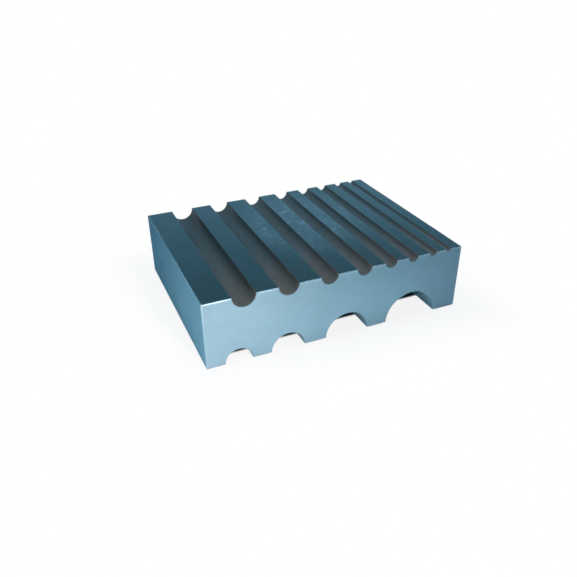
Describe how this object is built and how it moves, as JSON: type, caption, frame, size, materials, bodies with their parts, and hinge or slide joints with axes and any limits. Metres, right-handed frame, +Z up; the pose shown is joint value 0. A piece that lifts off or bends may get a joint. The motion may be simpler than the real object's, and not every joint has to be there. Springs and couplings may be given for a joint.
{
  "type": "bench block",
  "caption": "Rectangular steel bench block with half-round grooves in graded widths across its top and underside, for shaping rod, wire and strip.",
  "frame": {"origin": "centre of the underside's outline, on the surface that the block stands on", "axes": "+X right along the grooved front face, from the widest top groove to the narrowest; +Y along the grooves from the front face to the back face; +Z up through the top face"},
  "size_m": [0.1, 0.0762, 0.0254],
  "materials": {
    "ground_steel": "satin blue-grey ground steel, with duller grey-brown milled grooves and thin bright broken edges"
  },
  "bodies": {
    "root": {"block": "ground_steel"}
  },
  "joints": []
}
